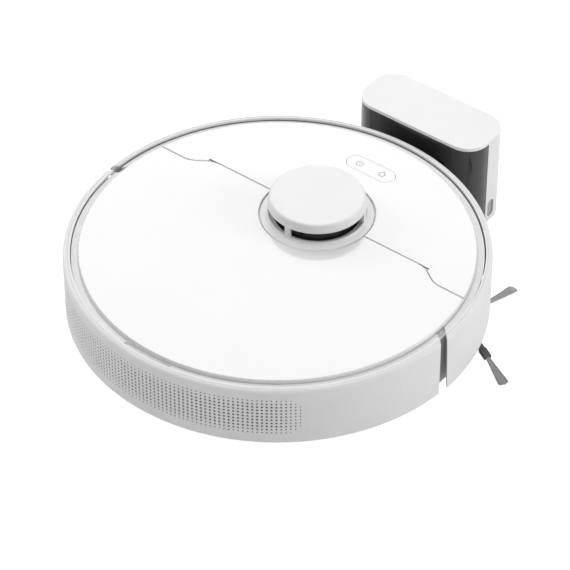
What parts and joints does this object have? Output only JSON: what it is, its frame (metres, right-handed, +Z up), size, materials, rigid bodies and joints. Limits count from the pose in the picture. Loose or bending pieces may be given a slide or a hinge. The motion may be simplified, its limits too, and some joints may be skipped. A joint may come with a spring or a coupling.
{
  "type": "robot vacuum",
  "caption": "Round floor-cleaning robot with laser turret, sprung bumper, hinged rear lid over a lift-out dust bin, brushes and drive wheels, parked at its charging dock.",
  "frame": {"origin": "point on the floor under the middle of the robot's round body", "axes": "+Y forwards, towards the bumper and the dock; +X to the robot's right, the side brush's side; +Z up"},
  "size_m": [0.3735, 0.412, 0.0986],
  "materials": {
    "lid_white": "high gloss white",
    "shell_white": "satin white moulding",
    "deck_grey": "fine-grained light grey",
    "base_grey": "fine-grained moulding",
    "mechanism_black": "dark moulding",
    "wheel_hub_grey": "satin grey",
    "tyre_rubber": "ribbed rubber",
    "soft_rubber": "soft dark rubber",
    "bristle_fibre": "nylon bristle",
    "smoke_window": "dark infrared window",
    "spring_steel": "drawn steel",
    "motor_metal": "brushed can",
    "contact_gold": "gilt contact",
    "board_green": "lacquered board",
    "battery_blue": "shrink-wrapped cells",
    "bin_clear": "smoked clear plastic",
    "filter_paper": "pleated filter paper",
    "dock_white": "white moulding",
    "dock_black": "piano black"
  },
  "bodies": {
    "robot": {"base_shell": "base_grey", "battery_cover": "base_grey", "battery_pack": "battery_blue", "main_board": "board_green", "brush_housing": "base_grey", "brush_guard": "base_grey", "brush_gearbox": "mechanism_black", "brush_motor": "motor_metal", "inlet_seal": "soft_rubber", "fan_housing": "mechanism_black", "fan_motor": "motor_metal", "side_brush_gearbox": "mechanism_black", "cliff_sensors": "smoke_window", "charge_contacts": "contact_gold", "caster_socket": "base_grey", "lidar_base": "base_grey", "lidar_motor": "motor_metal", "lidar_belt": "soft_rubber", "turret_base": "shell_white", "turret_cap": "shell_white", "top_deck": "deck_grey", "bin_bay": "deck_grey", "speaker": "mechanism_black", "front_cover": "lid_white", "base_screws": "spring_steel", "rear_side_shell": "shell_white", "exhaust_grille": "deck_grey", "lid_hinge_pins": "spring_steel", "suspension_spring_left": "spring_steel", "suspension_spring_right": "spring_steel"},
    "bumper": {"bumper_shell": "shell_white", "dock_sensor_window": "smoke_window"},
    "lid": {"lid_panel": "lid_white"},
    "dust_bin": {"bin_body": "bin_clear", "bin_cover": "bin_clear", "bin_filter_frame": "mechanism_black", "bin_filter": "filter_paper"},
    "button": {"button_plate": "lid_white"},
    "main_brush": {"main_brush_core": "mechanism_black", "main_brush_bristles": "bristle_fibre"},
    "side_brush": {"side_brush_hub": "soft_rubber", "side_brush_bristles": "bristle_fibre"},
    "fan_wheel": {"fan_impeller": "mechanism_black"},
    "laser_head": {"lidar_head": "mechanism_black"},
    "laser_pulley": {"lidar_pulley": "mechanism_black"},
    "left_wheel_arm": {"wheel_arm_left": "mechanism_black"},
    "left_wheel": {"wheel_hub_left": "wheel_hub_grey", "tyre_left": "tyre_rubber"},
    "right_wheel_arm": {"wheel_arm_right": "mechanism_black"},
    "right_wheel": {"wheel_hub_right": "wheel_hub_grey", "tyre_right": "tyre_rubber"},
    "caster": {"caster_fork": "mechanism_black", "caster_axle": "spring_steel"},
    "caster_roller": {"caster_wheel": "mechanism_black"},
    "dock": {"dock_shell": "dock_white", "dock_front": "dock_black", "dock_cap": "dock_white", "dock_foot": "dock_black", "dock_board": "board_green"},
    "dock_pins": {"dock_contacts": "contact_gold"}
  },
  "joints": [
    {"name": "bumper_press", "type": "slide", "parent": "robot", "child": "bumper", "axis": [0, -1, 0], "range_m": [0, 0.004], "stiffness_N_per_m": 500, "springref_m": -0.002},
    {"name": "lid_hinge", "type": "hinge", "parent": "robot", "child": "lid", "pos_m": [0, 0.05105, 0.07795], "axis": [-1, 0, 0], "range_deg": [0, 80]},
    {"name": "bin_lift", "type": "slide", "parent": "robot", "child": "dust_bin", "axis": [0, 0, 1], "range_m": [0, 0.063]},
    {"name": "button_rock", "type": "hinge", "parent": "robot", "child": "button", "pos_m": [0, 0.1255, 0.077], "axis": [0, 1, 0], "range_deg": [-1.5, 1.5], "stiffness_Nm_per_rad": 0.6},
    {"name": "main_brush_spin", "type": "hinge", "parent": "robot", "child": "main_brush", "pos_m": [0, -0.022, 0.0225], "axis": [1, 0, 0], "continuous": true},
    {"name": "side_brush_spin", "type": "hinge", "parent": "robot", "child": "side_brush", "pos_m": [0.1368, 0.0808, 0.01], "axis": [0, 0, 1], "continuous": true},
    {"name": "fan_spin", "type": "hinge", "parent": "robot", "child": "fan_wheel", "pos_m": [-0.097, -0.102, 0.02], "axis": [0, 0, 1], "continuous": true},
    {"name": "laser_spin", "type": "hinge", "parent": "robot", "child": "laser_head", "pos_m": [0, 0.0522, 0.07], "axis": [0, 0, 1], "continuous": true},
    {"name": "laser_pulley_spin", "type": "hinge", "parent": "robot", "child": "laser_pulley", "pos_m": [0.06, 0.038, 0.07], "axis": [0, 0, 1], "continuous": true},
    {"name": "left_wheel_drop", "type": "hinge", "parent": "robot", "child": "left_wheel_arm", "pos_m": [-0.089, -0.07, 0.036], "axis": [-1, 0, 0], "range_deg": [0, 24], "stiffness_Nm_per_rad": 0.2, "springref_deg": 68.75, "deforming": ["suspension_spring_left"]},
    {"name": "left_wheel_spin", "type": "hinge", "parent": "left_wheel_arm", "child": "left_wheel", "pos_m": [-0.105, -0.02, 0.033], "axis": [1, 0, 0], "continuous": true},
    {"name": "right_wheel_drop", "type": "hinge", "parent": "robot", "child": "right_wheel_arm", "pos_m": [0.089, -0.07, 0.036], "axis": [-1, 0, 0], "range_deg": [0, 24], "stiffness_Nm_per_rad": 0.2, "springref_deg": 68.75, "deforming": ["suspension_spring_right"]},
    {"name": "right_wheel_spin", "type": "hinge", "parent": "right_wheel_arm", "child": "right_wheel", "pos_m": [0.105, -0.02, 0.033], "axis": [1, 0, 0], "continuous": true},
    {"name": "caster_swivel", "type": "hinge", "parent": "robot", "child": "caster", "pos_m": [0, 0.112, 0.02], "axis": [0, 0, 1], "continuous": true},
    {"name": "caster_roll", "type": "hinge", "parent": "caster", "child": "caster_roller", "pos_m": [0, 0.105, 0.011], "axis": [1, 0, 0], "continuous": true},
    {"name": "dock_parting", "type": "slide", "parent": "robot", "child": "dock", "axis": [0, 1, 0], "range_m": [0, 0.3]},
    {"name": "dock_pin_press", "type": "slide", "parent": "dock", "child": "dock_pins", "axis": [0, 0, -1], "range_m": [0, 0.002], "stiffness_N_per_m": 250}
  ],
  "couplings": [
    {"joint": "bin_lift", "follows": "lid_hinge", "m_per_rad": 0.045},
    {"joint": "laser_pulley_spin", "follows": "laser_spin", "ratio": 7}
  ]
}
